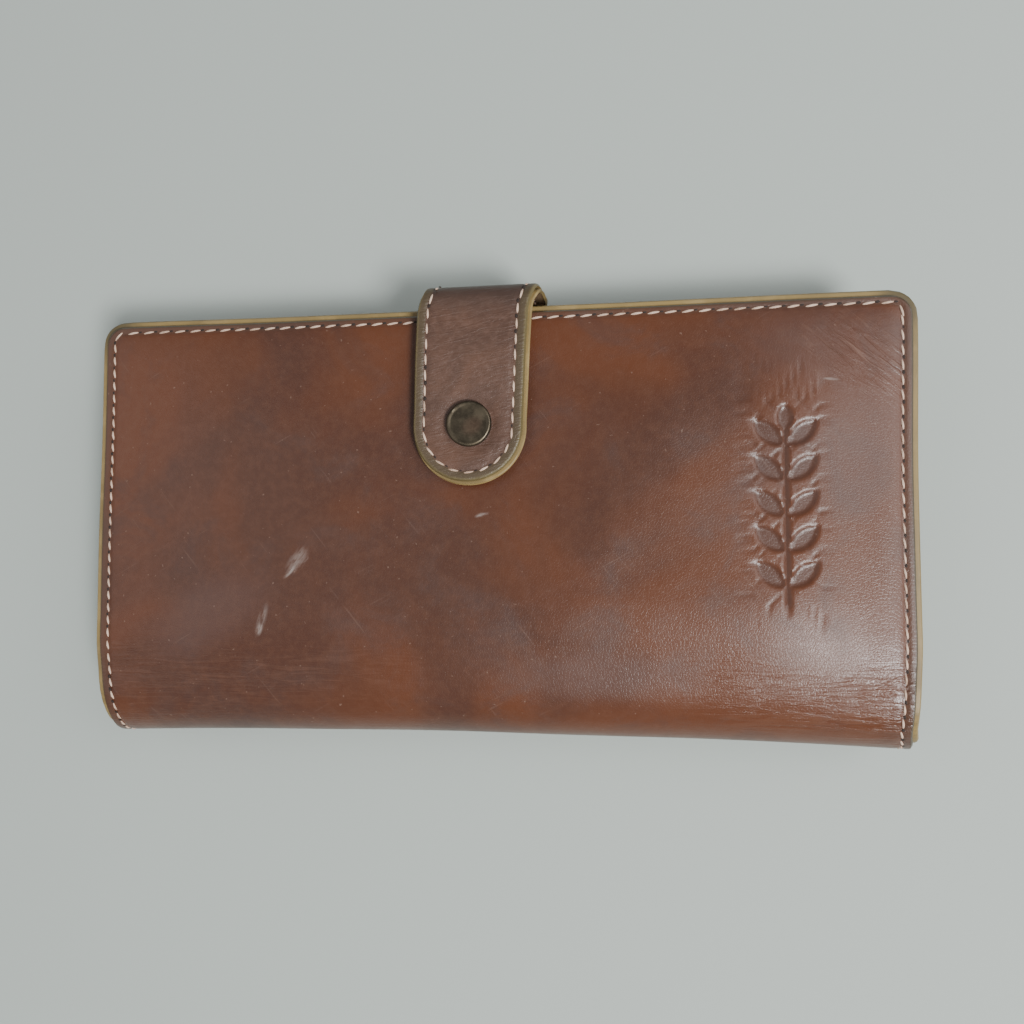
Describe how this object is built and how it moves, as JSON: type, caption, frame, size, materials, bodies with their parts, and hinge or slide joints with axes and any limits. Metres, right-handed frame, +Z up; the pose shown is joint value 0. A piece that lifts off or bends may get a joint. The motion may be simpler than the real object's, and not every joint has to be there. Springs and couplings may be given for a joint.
{
  "type": "long wallet",
  "caption": "Closed long bifold wallet in brown leather with a snap tab over the opening edge, a zip coin pocket, card panels and a banknote compartment.",
  "frame": {"origin": "under the middle of the closed wallet's outline, on the surface that it lies on", "axes": "+X along the wallet's length, +Y from the spine to the opening edge, +Z up through its thickness"},
  "size_m": [0.19, 0.104, 0.0318],
  "materials": {
    "leather_brown": "oiled pull-up leather, satin, worn",
    "inner_leather": "thin smooth leather, matt",
    "board": "fibre stiffening board, matt",
    "lining": "plain woven lining",
    "thread": "waxed cream thread",
    "zip_tape": "woven tape",
    "zip_brass": "aged brass",
    "bronze": "dark antique bronze, worn at the rim"
  },
  "bodies": {
    "back": {"back_cover": "leather_brown", "back_board": "board", "back_lining": "lining", "back_stitching": "thread", "bill_gusset_left": "inner_leather", "bill_gusset_right": "inner_leather", "bill_bottom_strip": "inner_leather", "coin_rear_wall": "inner_leather", "coin_front_wall": "inner_leather", "coin_gusset_left": "inner_leather", "coin_gusset_right": "inner_leather", "coin_bottom_strip": "inner_leather", "zip_tape_rear": "zip_tape", "zip_tape_front": "zip_tape", "zip_teeth_rear": "zip_brass", "zip_teeth_front": "zip_brass", "zip_end_stops": "zip_brass", "tab_root_leather": "leather_brown", "tab_root_lining": "inner_leather", "tab_anchor_stitching": "thread"},
    "spine": {"spine_cover": "leather_brown", "spine_interlining": "board", "spine_lining": "lining", "spine_stitching": "thread"},
    "front": {"front_cover": "leather_brown", "front_board": "board", "front_lining": "lining", "front_stitching": "thread", "card_panel_1": "inner_leather", "card_panel_2": "inner_leather", "card_panel_3": "inner_leather", "card_panel_4": "inner_leather", "card_backing": "inner_leather", "card_binding_left": "leather_brown", "card_binding_right": "leather_brown", "card_bottom_binding": "leather_brown", "card_centre_stitching": "thread", "slip_side_left": "inner_leather", "slip_side_right": "inner_leather", "slip_bottom_strip": "inner_leather", "snap_stud": "bronze", "snap_eyelet": "bronze"},
    "tab_loop": {"tab_loop_leather": "leather_brown", "tab_loop_lining": "inner_leather", "tab_loop_stitching": "thread"},
    "tab_flap": {"tab_flap_leather": "leather_brown", "tab_flap_lining": "inner_leather", "tab_flap_stitching": "thread", "snap_cap": "bronze", "snap_socket": "bronze"},
    "zip_slider_body": {"zip_slider": "bronze"},
    "zip_puller_body": {"zip_puller": "bronze"}
  },
  "joints": [
    {"name": "spine_fold", "type": "hinge", "parent": "back", "child": "spine", "pos_m": [0, -0.0482, 0.0038], "axis": [1, 0, 0], "range_deg": [0, 90]},
    {"name": "front_fold", "type": "hinge", "parent": "spine", "child": "front", "pos_m": [0, -0.0482, 0.02215], "axis": [1, 0, 0], "range_deg": [0, 90]},
    {"name": "tab_base_bend", "type": "hinge", "parent": "back", "child": "tab_loop", "pos_m": [0, 0.05097, 0.00193], "axis": [-1, 0, 0], "range_deg": [0, 60]},
    {"name": "tab_lift", "type": "hinge", "parent": "tab_loop", "child": "tab_flap", "pos_m": [0, 0.05097, 0.02933], "axis": [-1, 0, 0], "range_deg": [0, 100]},
    {"name": "zip_slide", "type": "slide", "parent": "back", "child": "zip_slider_body", "axis": [-1, 0, 0], "range_m": [0, 0.145]},
    {"name": "puller_swing", "type": "hinge", "parent": "zip_slider_body", "child": "zip_puller_body", "pos_m": [0.0725, 0.04495, 0.0107], "axis": [0, 0, -1], "range_deg": [0, 170]}
  ],
  "couplings": [
    {"joint": "front_fold", "follows": "spine_fold", "ratio": 1},
    {"joint": "tab_base_bend", "follows": "tab_lift", "ratio": 0.6}
  ]
}
